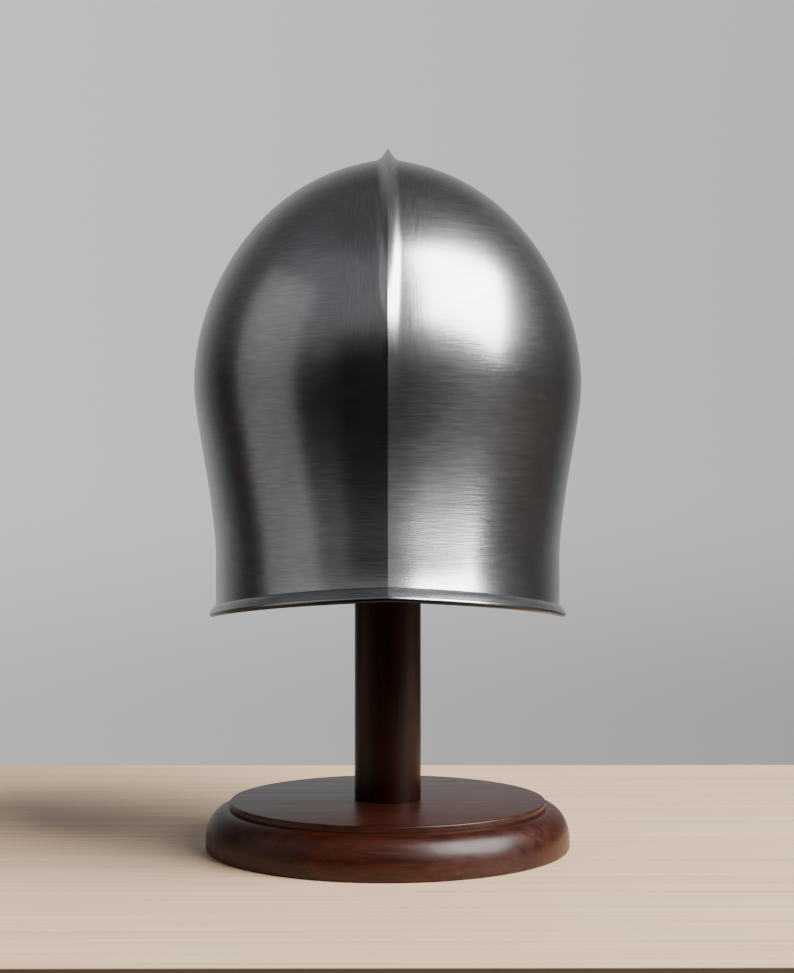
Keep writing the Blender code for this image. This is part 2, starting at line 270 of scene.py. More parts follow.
def edge_height(around):
    """Height of the rolled edge's middle; around is 0 at the back and 180 degrees at the front."""
    rise = BACK_EDGE_RISE if cos(around) > 0 else FRONT_EDGE_RISE
    return SIDE_EDGE_HEIGHT + rise * abs(cos(around)) ** EDGE_RISE_POWER


def flange_flare(x, around, height):
    """How far the flange above the rolled edge stands out of the skirt."""
    share = max(0.0, 1 - (height - edge_height(around)) / FLANGE_HEIGHT)
    fade = 1.0 if cos(around) > 0 else blend(FLANGE_FRONT_START, FLANGE_FRONT_FULL, abs(x))
    return FLANGE_FLARE * fade * share**FLANGE_POWER


def plate_point(height, around, depth_in=0.0):
    """A point of the plate's outer face, or of a layer at some depth inside it."""
    column = BACK if cos(around) > 0 else FRONT
    if height > WIDEST.height:
        dome_height = CROWN_HEIGHT - WIDEST.height
        level = min(1.0, (height - WIDEST.height) / dome_height)
        shrink = sqrt(1 - level * level)
        x = WIDEST.half_width * shrink * (1 - SHOULDER_EASE * (2 * level * shrink) ** 2) * sin(around)
        y = WIDEST[column] * shrink * cos(around)
        out = Vector((x / WIDEST.half_width**2, y / WIDEST[column] ** 2, level / dome_height))
    else:
        half_width, width_slope = skirt_size(height, HALF_WIDTH)
        depth, depth_slope = skirt_size(height, column)
        x = half_width * sin(around)
        y = depth * cos(around)
        lean = x * x * width_slope / half_width**3 + y * y * depth_slope / depth**3
        out = Vector((x / half_width**2, y / depth**2, -lean))
    level_out = Vector((out.x, out.y, 0))
    if level_out.length > 0:
        level_out.normalize()
    rise = ridge_rise(x, height) - depth_in
    return Vector((x, y, height)) + rise * out.normalized() + flange_flare(x, around, height) * level_out


def face_place(x, z):
    """The height and the angle round the helmet of a place on its front, seen from straight ahead."""
    guess_x, guess_z = x, z
    for _ in range(PLACE_ROUNDS):
        dome = sqrt(max(0.0, 1 - ((guess_z - WIDEST.height) / (CROWN_HEIGHT - WIDEST.height)) ** 2))
        if guess_z > WIDEST.height:
            half_width = WIDEST.half_width * dome
        else:
            half_width = skirt_size(guess_z, HALF_WIDTH)[0]
        around = pi - asin(guess_x / half_width)
        point = plate_point(guess_z, around)
        place = guess_z, around
        guess_x += x - point.x
        guess_z += z - point.z
    return place


def face_point(x, z):
    """The point of the plate's outer face at a place seen from straight ahead."""
    return plate_point(*face_place(x, z))


def face_outline(sizes):
    """The middle of one half of the face opening's rolled edge, as rounded corners seen from ahead."""
    points = [(FACE_CORNERS[0].x, FACE_CORNERS[0].z)]
    for before, corner, after in zip(FACE_CORNERS, FACE_CORNERS[1:], FACE_CORNERS[2:]):
        apex = Vector((corner.x, corner.z))
        arrive = (Vector((before.x, before.z)) - apex).normalized()
        leave = (Vector((after.x, after.z)) - apex).normalized()
        half_angle = acos(max(-1.0, min(1.0, arrive.dot(leave)))) / 2
        middle = apex + (arrive + leave).normalized() * (corner.radius / sin(half_angle))
        start = apex + arrive * (corner.radius / tan(half_angle)) - middle
        turn = pi - 2 * half_angle
        steps = max(1, ceil(turn / sizes.corner_step))
        side = 1 if start.x * (leave.y - arrive.y) - start.y * (leave.x - arrive.x) > 0 else -1
        for i in range(steps + 1):
            angle = side * turn * i / steps
            swung_x = start.x * cos(angle) - start.y * sin(angle)
            swung_z = start.x * sin(angle) + start.y * cos(angle)
            points.append((middle.x + swung_x, middle.y + swung_z))
    spread = [points[0]]
    for (x0, z0), (x1, z1) in zip(points, points[1:]):
        length = hypot(x1 - x0, z1 - z0)
        if length < SMALL_STEP:
            continue
        steps = max(1, round(length / sizes.roll_step))
        spread += [(x0 + (x1 - x0) * i / steps, z0 + (z1 - z0) * i / steps) for i in range(1, steps + 1)]
    return spread


def roll_path(sizes):
    """The middle of the rolled edge, all round: the face opening, then the lower edge."""
    outline = face_outline(sizes)
    half = [plate_point(*face_place(x, z), sizes.roll_radius) for x, z in outline]
    half_width = skirt_size(SIDE_EDGE_HEIGHT, HALF_WIDTH)[0]
    first = pi - asin((outline[-1][0] + sizes.roll_step) / half_width)
    steps = round(first * WIDEST.half_width / sizes.roll_step)
    for i in range(steps + 1):
        around = first * (1 - i / steps)
        half.append(plate_point(edge_height(around), around, sizes.roll_radius))
    mirrored = [Vector((-p.x, p.y, p.z)) for p in reversed(half[1:-1])]
    return half + mirrored


def face_cut_outline(sizes):
    """The edge that the plate is cut to round the face, just inside the rolled edge."""
    outline = face_outline(sizes)
    centres = [face_point(x, z) for x, z in outline]
    edge = []
    for i, centre in enumerate(centres):
        ahead = centres[min(i + 1, len(centres) - 1)] - centres[max(i - 1, 0)]
        x, z = outline[i]
        across = face_point(x + SMALL_STEP, z) - face_point(max(0.0, x - SMALL_STEP), z)
        upward = face_point(x, z + SMALL_STEP) - face_point(x, z - SMALL_STEP)
        outward = across.cross(upward).normalized().cross(ahead).normalized()
        point = centre + sizes.roll_bury * outward
        edge.append((0.0 if i == 0 else point.x, point.z))
    edge.append((edge[-1][0], FACE_CUT_BOTTOM))
    return edge + [(-x, z) for x, z in reversed(edge[1:])]


# ---------------------------------------------------------------------------------- meshes


def add_object(name, data, surface=None):
    """A new object at the origin with its finish."""
    made = bpy.data.objects.new(name, data)
    bpy.context.scene.collection.objects.link(made)
    if surface:
        data.materials.append(surface)
    return made


def add_piece(name, data, surface, node):
    """A finished piece that stands for a node of the frame."""
    made = add_object(name, data, surface)
    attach(made, "root")
    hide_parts(node)
    return made


def mesh_from(shape, name, sharp_angle):
    """A smooth-shaded mesh from a bmesh, creased where it turns by more than an angle."""
    mesh = bpy.data.meshes.new(name)
    shape.to_mesh(mesh)
    shape.free()
    mesh.shade_smooth()
    mesh.set_sharp_from_angle(angle=sharp_angle)
    return mesh


def evaluated_mesh(made):
    """The object's mesh with its modifiers or its curve's thickness applied."""
    bpy.context.view_layer.update()
    return bpy.data.meshes.new_from_object(made.evaluated_get(bpy.context.evaluated_depsgraph_get()))


def crowd(value, power):
    """Draws the grid's lines together near the middle, where the comb stands."""
    return (abs(value) ** power) * (1 if value >= 0 else -1)


def grid_place(place, sizes):
    """The height and the angle round the helmet of a point of the cube's grid."""
    sideways = tan(crowd(place.x, sizes.comb_crowding) * pi / 4)
    along = tan(place.y * pi / 4)
    around = atan2(sideways, along)
    if place.z >= 0:
        upward = Vector((sideways, along, tan(place.z * pi / 4))).normalized().z
        return WIDEST.height + (CROWN_HEIGHT - WIDEST.height) * upward, around
    bottom = edge_height(around) + sizes.roll_bury
    crease = edge_height(around) + FLANGE_HEIGHT
    row = -place.z * sizes.plate_cells / 2
    skirt_rows = sizes.plate_cells / 2 - sizes.flange_rows
    if row <= skirt_rows:
        share = (1 - row / skirt_rows) ** sizes.crease_crowding
        return crease + (WIDEST.height - crease) * share, around
    share = ((row - skirt_rows) / sizes.flange_rows) ** sizes.crease_crowding
    return crease + (bottom - crease) * share, around


def plate_wall(sizes):
    """The uncut plate as a closed wall: a cube's grid blown up to the outer and the inner face."""
    wall = bmesh.new()
    bmesh.ops.create_cube(wall, size=2)
    floor = [face for face in wall.faces if face.normal.z < -0.5]
    bmesh.ops.delete(wall, geom=floor, context="FACES_ONLY")
    bmesh.ops.subdivide_edges(wall, edges=wall.edges, cuts=sizes.plate_cells - 1, use_grid_fill=True)
    outer = list(wall.verts)
    copied = bmesh.ops.duplicate(wall, geom=wall.verts[:] + wall.edges[:] + wall.faces[:])
    inner = [item for item in copied["geom"] if isinstance(item, bmesh.types.BMVert)]
    inner_faces = [item for item in copied["geom"] if isinstance(item, bmesh.types.BMFace)]
    for vert in outer:
        vert.co = plate_point(*grid_place(vert.co, sizes))
    for vert in inner:
        vert.co = plate_point(*grid_place(vert.co, sizes), sizes.thickness)
    bmesh.ops.reverse_faces(wall, faces=inner_faces)
    rims = [edge for edge in wall.edges if edge.is_boundary]
    bmesh.ops.bridge_loops(wall, edges=rims)
    bmesh.ops.recalc_face_normals(wall, faces=wall.faces)
    return wall


def face_cutter(sizes):
    """A block of the face opening's outline that passes through the plate's front."""
    curve = bpy.data.curves.new("face_outline", "CURVE")
    curve.dimensions = "2D"
    curve.fill_mode = "BOTH"
    curve.extrude = FACE_CUT_DEPTH / 2
    outline = face_cut_outline(sizes)
    spline = curve.splines.new("POLY")
    spline.points.add(len(outline) - 1)
    for point, (x, z) in zip(spline.points, outline):
        point.co = (x, z, 0, 1)
    spline.use_cyclic_u = True
    drawn = add_object("face_outline", curve)
    mesh = evaluated_mesh(drawn)
    bpy.data.objects.remove(drawn)
    block = bmesh.new()
    block.from_mesh(mesh)
    bmesh.ops.remove_doubles(block, verts=block.verts, dist=WELD_DISTANCE)
    bmesh.ops.transform(block, matrix=Matrix.Rotation(pi / 2, 4, "X"), verts=block.verts)
    bmesh.ops.translate(block, vec=(0, -WIDEST.front, 0), verts=block.verts)
    bmesh.ops.recalc_face_normals(block, faces=block.faces)
    block.to_mesh(mesh)
    block.free()
    return add_object("face_cutter", mesh)


def turned(profile, sides):
    """A closed turned shape from its profile, from the top of the axis to the bottom of the axis."""
    shape = bmesh.new()
    verts = [shape.verts.new((radius, 0, height)) for radius, height in profile]
    edges = [shape.edges.new(pair) for pair in zip(verts, verts[1:])]
    round_axis = {"axis": (0, 0, 1), "cent": (0, 0, 0), "angle": 2 * pi}
    bmesh.ops.spin(shape, geom=verts + edges, steps=sides, use_merge=True, **round_axis)
    bmesh.ops.remove_doubles(shape, verts=shape.verts, dist=TURNED_WELD_DISTANCE)
    bmesh.ops.recalc_face_normals(shape, faces=shape.faces)
    return shape


def arc(middle, radii, start, end, steps):
    """Points of a profile along part of an oval, from one angle to another."""
    angles = [start + (end - start) * i / steps for i in range(steps + 1)]
    return [(middle[0] + radii[0] * cos(a), middle[1] + radii[1] * sin(a)) for a in angles]


# ---------------------------------------------------------------------------------- finishes


def linear(hex_colour):
    """An sRGB hex value as linear red, green and blue."""
    shares = [int(hex_colour[i : i + 2], 16) / 255 for i in (1, 3, 5)]
    return tuple(s / 12.92 if s <= 0.04045 else ((s + 0.055) / 1.055) ** 2.4 for s in shares)


def feed(tree, socket, value):
    """Gives a socket a number or a colour, or links it; a node stands for its first shown output."""
    if isinstance(value, bpy.types.Node):
        value = next(output for output in value.outputs if output.enabled)
    if isinstance(value, bpy.types.NodeSocket):
        tree.links.new(value, socket)
    elif socket.type == "RGBA":
        socket.default_value = (*value, 1)
    else:
        socket.default_value = value


def add_node(tree, kind, inputs=(), **settings):
    """Adds a node with its settings, and feeds its shown inputs in their order; None skips one."""
    made = tree.nodes.new(kind)
    for name, value in settings.items():
        setattr(made, name, value)
    for socket, value in zip([socket for socket in made.inputs if socket.enabled], inputs):
        if value is not None:
            feed(tree, socket, value)
    return made


def new_finish(name):
    """A material with nothing in its tree but the shader and the output."""
    made = bpy.data.materials.new(name)
    made.use_nodes = True
    return made, made.node_tree, made.node_tree.nodes["Principled BSDF"]


def marks(tree, place, size, detail=3):
    """Uneven marks about as long, wide and high as size, in metres."""
    scale = [1 / length for length in size]
    stretched = add_node(tree, "ShaderNodeMapping", (place, None, None, scale))
    return add_node(tree, "ShaderNodeTexNoise", (stretched, 1.0, detail, MARK_ROUGHNESS))


def brushing(tree, place):
    """Brush lines, level round the helmet and, beside the comb, along it.

    Real lines are about 0.2 mm apart; they are drawn over four times as coarse, so that they show.
    """
    level = marks(tree, place, LEVEL_BRUSH_SIZE)
    along = marks(tree, place, COMB_BRUSH_SIZE)
    parts = add_node(tree, "ShaderNodeSeparateXYZ", (place,))
    aside = add_node(tree, "ShaderNodeMath", (parts.outputs["X"],), operation="ABSOLUTE")
    beside = add_node(tree, "ShaderNodeMapRange", (aside, *COMB_BRUSH_ASIDE), **SMOOTH)
    high = add_node(tree, "ShaderNodeMapRange", (parts.outputs["Z"], *COMB_BRUSH_UP), **SMOOTH)
    share = add_node(tree, "ShaderNodeMath", (beside, high), operation="MULTIPLY")
    difference = add_node(tree, "ShaderNodeMath", (along, level), operation="SUBTRACT")
    return add_node(tree, "ShaderNodeMath", (difference, share, level), operation="MULTIPLY_ADD")


def brushed_steel(finish, name):
    """Raised mild steel, brushed level round the helmet and satin polished: soft wide highlights."""
    made, tree, shader = new_finish(name)
    place = add_node(tree, "ShaderNodeTexCoord").outputs["Object"]
    lines = brushing(tree, place)
    broad_lines = marks(tree, place, BROAD_BRUSH_SIZE)
    clouds = marks(tree, place, CLOUD_SIZE)
    cloudy = add_node(tree, "ShaderNodeMapRange", (clouds, *CLOUD_CLEANNESS), **SMOOTH)
    lined = add_node(tree, "ShaderNodeMapRange", (lines, *LINE_CLEANNESS))
    clean = add_node(tree, "ShaderNodeMath", (lined, LINE_SHARE, cloudy), operation="MULTIPLY_ADD")
    shades = (clean, finish.steel_dark, finish.steel_light)
    feed(tree, shader.inputs["Base Color"], add_node(tree, "ShaderNodeMix", shades, data_type="RGBA"))
    # The marks lie about one half, so taking half their weight off leaves the roughness as set.
    smoothest = finish.steel_roughness - (LINE_ROUGHNESS + BROAD_ROUGHNESS) / 2
    terms = (lines, LINE_ROUGHNESS, smoothest)
    worked = add_node(tree, "ShaderNodeMath", terms, operation="MULTIPLY_ADD")
    terms = (broad_lines, BROAD_ROUGHNESS, worked)
    rough = add_node(tree, "ShaderNodeMath", terms, operation="MULTIPLY_ADD")
    feed(tree, shader.inputs["Roughness"], rough)
    bump = add_node(tree, "ShaderNodeBump", (LINE_BUMP, LINE_DEPTH, None, lines))
    feed(tree, shader.inputs["Normal"], bump)
    shader.inputs["Metallic"].default_value = 1.0
    return made


def paint_underside_shade(surface, finish):
    """Painted shade where a brushed border turns down: its downward faces are darkened to a thin dark
    band.
    """
    tree = surface.node_tree
    shader = tree.nodes["Principled BSDF"]
    facing = add_node(tree, "ShaderNodeTexCoord").outputs["Normal"]
    upward = add_node(tree, "ShaderNodeSeparateXYZ", (facing,)).outputs["Z"]
    below = add_node(tree, "ShaderNodeMapRange", (upward, *SHADE_FACING_DOWN), **SMOOTH)
    underside = add_node(tree, "ShaderNodeMapRange", (upward, *SHADE_STRAIGHT_DOWN), **SMOOTH)
    painted_shade = add_node(tree, "ShaderNodeMath", (below, underside), operation="MULTIPLY")
    clean = shader.inputs["Base Color"].links[0].from_socket
    shades = (painted_shade, clean, finish.steel_underside_shade)
    feed(tree, shader.inputs["Base Color"], add_node(tree, "ShaderNodeMix", shades, data_type="RGBA"))


def stained_wood(finish, wood):
    """Turned hardwood, stained dark red-brown under satin lacquer: dim grain, a clear soft sheen.

    Real pores are about 0.2 mm wide; they are drawn four times as wide, so that they show.
    """
    made, tree, shader = new_finish(wood.name)
    place = add_node(tree, "ShaderNodeTexCoord").outputs["Object"]
    figure_size = [length * FIGURE_COARSENESS for length in wood.pore_size]
    figure = marks(tree, place, figure_size, detail=4)
    pores = marks(tree, place, wood.pore_size)
    light = add_node(tree, "ShaderNodeMapRange", (figure, *FIGURE_SHARE), **SMOOTH)
    shades = (light, finish.wood_dark, finish.wood_light)
    stain = add_node(tree, "ShaderNodeMix", shades, data_type="RGBA")
    # On the upright pieces the pores' darkness starts higher: painted shade over the stain.
    pore_share = (*PORE_EDGES, wood.stain_depth, wood.stain_depth + PORE_DEPTH)
    dark = add_node(tree, "ShaderNodeMapRange", (pores, *pore_share), **SMOOTH)
    shades = (dark, stain, finish.wood_pore)
    feed(tree, shader.inputs["Base Color"], add_node(tree, "ShaderNodeMix", shades, data_type="RGBA"))
    gloss = add_node(tree, "ShaderNodeMapRange", (figure, *WOOD_ROUGHNESS), **SMOOTH)
    feed(tree, shader.inputs["Roughness"], gloss)
    bump = add_node(tree, "ShaderNodeBump", (PORE_BUMP, PORE_BUMP_HEIGHT, None, pores))
    feed(tree, shader.inputs["Normal"], bump)
    shader.inputs["Specular IOR Level"].default_value = wood.sheen
    shader.inputs["IOR"].default_value = 1.5
    shader.inputs["Coat Weight"].default_value = 0.1
    shader.inputs["Coat Roughness"].default_value = 0.22
    return made


def planed_beech(stage):
    """Planed pale beech, waxed: faint long grain, hardly any gloss, and painted shade on its edges."""
    made, tree, shader = new_finish("planed_beech")
    place = add_node(tree, "ShaderNodeTexCoord").outputs["Object"]
    grain = marks(tree, place, TABLE_GRAIN_SIZE, detail=5)
    light = add_node(tree, "ShaderNodeMapRange", (grain, *TABLE_GRAIN_SHARE), **SMOOTH)
    shades = (light, stage.table_dark, stage.table_light)
    face = add_node(tree, "ShaderNodeMix", shades, data_type="RGBA")
    height = add_node(tree, "ShaderNodeSeparateXYZ", (place,)).outputs["Z"]
    # Below the top the edges are darkened: painted shade.
    shaded_edge = add_node(tree, "ShaderNodeMapRange", (height, *TABLE_EDGE_SHADE_SHARE), **SMOOTH)
    shades = (shaded_edge, face, stage.table_edge_shade)
    feed(tree, shader.inputs["Base Color"], add_node(tree, "ShaderNodeMix", shades, data_type="RGBA"))
    shader.inputs["Roughness"].default_value = 0.5
    return made


def black_felt(stage):
    """Pressed wool felt, black and dull, painted lighter towards its top as if more light fell there."""
    made, tree, shader = new_finish("black_felt")
    place = add_node(tree, "ShaderNodeTexCoord").outputs["Object"]
    height = add_node(tree, "ShaderNodeSeparateXYZ", (place,)).outputs["Z"]
    lit = add_node(tree, "ShaderNodeMapRange", (height, *FELT_PAINTED_LIGHT), **SMOOTH)
    shades = (lit, stage.felt_dark, stage.felt_painted_light)
    feed(tree, shader.inputs["Base Color"], add_node(tree, "ShaderNodeMix", shades, data_type="RGBA"))
    shader.inputs["Roughness"].default_value = 0.9
    return made


# ---------------------------------------------------------------------------------- settings


def length(name, description, default):
    """A size in metres."""
    return number(name, description, default, unit="LENGTH", precision=4)


def count(name, description, default):
    """How many of something."""
    return bpy.props.IntProperty(name=name, description=description, default=default, min=1)


def colour(name, description, hex_colour):
    """A colour, from its sRGB hex value."""
    settings = {"default": linear(hex_colour), "subtype": "COLOR", "size": 3}
    return bpy.props.FloatVectorProperty(name=name, description=description, **settings)


def number(name, description, default, **settings):
    """A plain number, or one of a unit or subtype."""
    return bpy.props.FloatProperty(name=name, description=description, default=default, **settings)


def angle(name, description, degrees):
    """An angle, from its degrees."""
    return number(name, description, radians(degrees), subtype="ANGLE")


class BarbutaSizes(bpy.types.PropertyGroup):
    """Sizes and fineness of the plate and of its border."""

    thickness: length("Plate thickness", "Thickness of the raised sheet", 0.0018)
    roll_radius: length("Roll radius", "Radius of the border rolled over its wire", 0.0017)
    roll_bury: length("Roll bury", "How far from the roll's middle the sheet ends inside it", 0.0002)
    roll_step: length("Roll step", "Length of one piece of the border's path", 0.0026)
    roll_sides: count("Roll sides", "Sides of the border's round section", 16)
    corner_step: angle("Corner step", "Turn of one piece of a rounded corner", 8)
    plate_cells: count("Plate cells", "Cells along each edge of the grid behind the plate", 80)
    flange_rows: count("Flange rows", "Rows of cells in the flange above the border", 8)
    crease_crowding: number("Crease crowding", "How strongly the grid gathers at the crease", 1.5)
    comb_crowding: number("Comb crowding", "How strongly the grid gathers at the comb", 1.6)
    sharp_angle: angle("Sharp angle", "Edges that turn more than this are creased", 40)


class StandSizes(bpy.types.PropertyGroup):
    """Fineness of the turned stand."""

    sides: count("Sides", "Sides of each turned piece", 160)
    arc_steps: count("Arc steps", "Steps in a moulding's quarter round", 16)
    edge_steps: count("Edge steps", "Steps in an eased edge", 4)
    sharp_angle: angle("Sharp angle", "Edges that turn more than this are creased", 40)


class BarbutaFinish(bpy.types.PropertyGroup):
    """Colours and gloss of the steel and the wood."""

    steel_light: colour("Steel, light", "Steel where it is brushed clean", "#bcbcbe")
    steel_dark: colour("Steel, dark", "Steel where it has dulled a little", "#9d9da0")
    # Painted shade: the dark colour given to the border where it faces down.
    steel_underside_shade: colour("Steel, browned", "Painted shade on the border where it faces down", "#262a31")
    steel_roughness: number("Steel roughness", "Roughness of the satin polish", 0.23, subtype="FACTOR")
    wood_light: colour("Wood, light", "Stained wood where it shows lightest", "#3e180a")
    wood_dark: colour("Wood, dark", "Stained wood where the figure is dark", "#2a0f06")
    wood_pore: colour("Wood, pores", "Stain gathered in the pores", "#1a0502")


class StageSettings(bpy.types.PropertyGroup):
    """The table, the light and the camera."""

    table_light: colour("Table, light", "Pale table", "#eccdaa")
    table_dark: colour("Table, grain", "Grain of the pale table", "#dcb48e")
    # Painted shade: the colour of the table's edges below its top.
    table_edge_shade: colour("Table, edge", "Painted shade on the table's edges below its top", "#5e4c3a")
    table_back: length("Table behind", "How far the table reaches behind the stand", 0.306)
    table_front: length("Table before", "How far the table reaches from the stand to the camera", 0.2585)
    table_width: length("Table width", "Width of the table from side to side", 2.4)
    table_thickness: length("Table thickness", "Thickness of the table top", 0.03)
    wall_light: colour("Wall, light", "Backdrop where it is lightest, on the left", "#ebebec")
    wall_dark: colour("Wall, dark", "Backdrop where it falls off, low on the right", "#a4a4a4")
    felt_dark: colour("Felt, dark", "The card's felt, low down", "#1c1c1c")
    # Painted light: the felt's colour at the card's top.
    felt_painted_light: colour("Felt, light", "The card's felt at its top", "#6c6c6c")
    room_level: colour("Room, level", "Gloom of the room at the helmet's height", "#1e1e1f")
    room_level_right: colour("Room, right", "Gloom at the helmet's height, on the right", "#4f4e4c")
    room_high: colour("Room, high", "Gloom higher up, behind the helmet", "#5c5d5f")
    room_high_near: colour("Room, high and near", "Gloom higher up, over the camera", "#909193")
    room_overhead: colour("Room, overhead", "Ceiling straight above", "#5e5f61")
    room_behind: colour("Room, behind", "Pale wall behind the helmet", "#c4c5c6")
    key_power: number("Key power", "Power of the large light on the right", 535, unit="POWER")
    fill_power: number("Fill power", "Power of the dim light on the left", 9.4, unit="POWER")
    lens: number("Lens", "Focal length in mm", 62.9, subtype="DISTANCE_CAMERA")


# ---------------------------------------------------------------------------------- operators


class BARBUTA_OT_plate(bpy.types.Operator):
    """Raises the helmet's plate and cuts its face opening."""

    bl_idname = "barbuta.plate"
    bl_label = "Raised plate"

    def execute(self, context):
        sizes = context.scene.barbuta_sizes
        cutter = face_cutter(sizes)
        mesh = mesh_from(plate_wall(sizes), "raised_plate_wall", sizes.sharp_angle)
        wall = add_object("raised_plate_wall", mesh)
        cut = wall.modifiers.new("face_opening", "BOOLEAN")
        cut.operation = "DIFFERENCE"
        cut.object = cutter
        mesh = evaluated_mesh(wall)
        bpy.data.objects.remove(wall)
        bpy.data.objects.remove(cutter)
        if not mesh.polygons:
            raise RuntimeError("the face opening's cut left nothing of the plate")
        mesh.set_sharp_from_angle(angle=sizes.sharp_angle)
        mesh.materials.clear()
        surface = bpy.data.materials[PLATE_STEEL]
        add_piece("raised_plate", mesh, surface, "helmet_plate")
        return {"FINISHED"}


class BARBUTA_OT_border(bpy.types.Operator):
    """Rolls the plate's border over its wire, all round."""

    bl_idname = "barbuta.border"
    bl_label = "Rolled border"

    def execute(self, context):
        sizes = context.scene.barbuta_sizes
        curve = bpy.data.curves.new("rolled_border", "CURVE")
        curve.dimensions = "3D"
        curve.bevel_depth = sizes.roll_radius
        # A round bevel has four sides and two more for each step of its resolution.
        curve.bevel_resolution = (sizes.roll_sides - 4) // 2
        path = roll_path(sizes)
        spline = curve.splines.new("POLY")
        spline.points.add(len(path) - 1)
        for point, place in zip(spline.points, path):
            point.co = (*place, 1)
        spline.use_cyclic_u = True
        spline.use_smooth = True
        drawn = add_object("rolled_border_path", curve)
        mesh = evaluated_mesh(drawn)
        bpy.data.objects.remove(drawn)
        surface = bpy.data.materials[BORDER_STEEL]
        add_piece("rolled_border", mesh, surface, "rolled_edge")
        return {"FINISHED"}


class BARBUTA_OT_stand(bpy.types.Operator):
    """Turns the stand's base, post and rest."""

    bl_idname = "barbuta.stand"
    bl_label = "Wooden stand"

    def execute(self, context):
        sizes = context.scene.barbuta_stand
        across = bpy.data.materials[BASE_WOOD.name]
        upright = bpy.data.materials[POST_WOOD.name]
        self.add("turned_base", self.base(sizes), sizes, across, "stand_base")
        self.add("turned_post", self.post(), sizes, upright, "stand_post")
        self.add("domed_rest", self.rest(sizes), sizes, upright, "stand_rest")
        return {"FINISHED"}

    def add(self, name, profile, sizes, surface, node):
        """Turns a profile and adds it as a finished piece."""
        mesh = mesh_from(turned(profile, sizes.sides), name, sizes.sharp_angle)
        add_piece(name, mesh, surface, node)

    def base(self, sizes):
        """A raised table with an eased edge, a ledge, a quarter-round moulding and an eased foot."""
        radius, top = BASE_HIGH.x, BASE_HIGH.z
        ledge = top - LEDGE_DROP
        ovolo_width = radius - TABLE_RADIUS - LEDGE_WIDTH
        table = (TABLE_RADIUS - TABLE_ROUNDING, top - TABLE_ROUNDING)
        moulding = (radius - ovolo_width, OVOLO_FOOT_HEIGHT)
        foot = (radius - FOOT_ROUNDING, FOOT_ROUNDING)
        profile = [(0, top)]
        profile += arc(table, (TABLE_ROUNDING, TABLE_ROUNDING), pi / 2, 0, sizes.edge_steps)
        profile.append((TABLE_RADIUS, ledge))
        profile += arc(moulding, (ovolo_width, ledge - OVOLO_FOOT_HEIGHT), pi / 2, 0, sizes.arc_steps)
        profile += arc(foot, (FOOT_ROUNDING, FOOT_ROUNDING), 0, -pi / 2, sizes.edge_steps)
        profile.append((0, 0))
        return profile

    def post(self):
        """A plain cylinder from the base's table to the rest."""
        radius, top, bottom = POST_HIGH.x, POST_HIGH.z, POST_LOW.z
        return [(0, top), (radius, top), (radius, bottom), (0, bottom)]

    def rest(self, sizes):
        """A domed top under the crown, an eased rim and a flat underside."""
        spread = asin(REST_HIGH.x / REST_CURVE_RADIUS)
        middle = (0, REST_HIGH.z - REST_CURVE_RADIUS)
        radii = (REST_CURVE_RADIUS, REST_CURVE_RADIUS)
        profile = arc(middle, radii, pi / 2, pi / 2 - spread, sizes.arc_steps)
        rim = profile[-1][1]
        eased = (REST_HIGH.x - REST_EDGE, REST_LOW.z + REST_EDGE)
        profile.append((REST_HIGH.x, rim - REST_EDGE))
        profile += arc(eased, (REST_EDGE, REST_EDGE), 0, -pi / 2, sizes.edge_steps)
        profile.append((0, REST_LOW.z))
        profile[0] = (0, REST_HIGH.z)
        return profile


class BARBUTA_OT_finishes(bpy.types.Operator):
    """Makes the steel and the stained wood."""

    bl_idname = "barbuta.finishes"
    bl_label = "Finishes"

    def execute(self, context):
        finish = context.scene.barbuta_finish
        brushed_steel(finish, PLATE_STEEL)
        # The border's steel gets painted shade where it faces down.
        paint_underside_shade(brushed_steel(finish, BORDER_STEEL), finish)
        stained_wood(finish, BASE_WOOD)
        stained_wood(finish, POST_WOOD)
        return {"FINISHED"}


